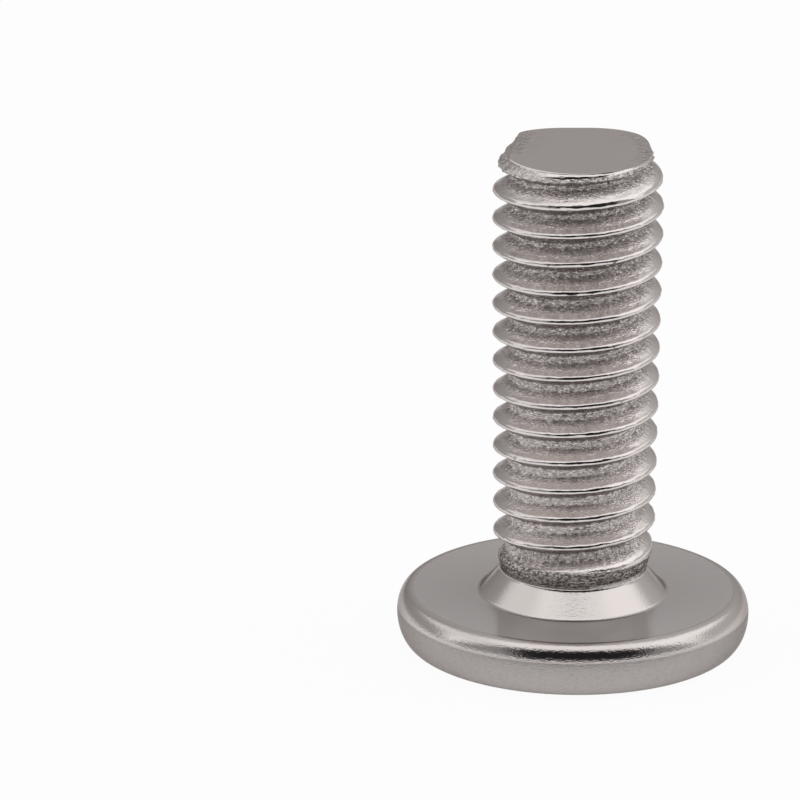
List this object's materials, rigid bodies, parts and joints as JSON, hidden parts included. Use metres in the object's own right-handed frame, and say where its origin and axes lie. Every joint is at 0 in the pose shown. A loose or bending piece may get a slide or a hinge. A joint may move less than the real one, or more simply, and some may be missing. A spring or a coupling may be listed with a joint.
{
  "type": "machine screw",
  "caption": "Machine screw with a thin flat round head, a cross recess in the head's flat face and a fully threaded shank.",
  "frame": {"origin": "centre of the head's flat face, which the screw stands on", "axes": "+Z along the shank from the head's flat face to the tip"},
  "size_m": [0.0082, 0.0082, 0.0121],
  "materials": {
    "steel": "bright nickel plating, slightly warm, satin to glossy"
  },
  "bodies": {
    "root": {"screw": "steel"}
  },
  "joints": []
}
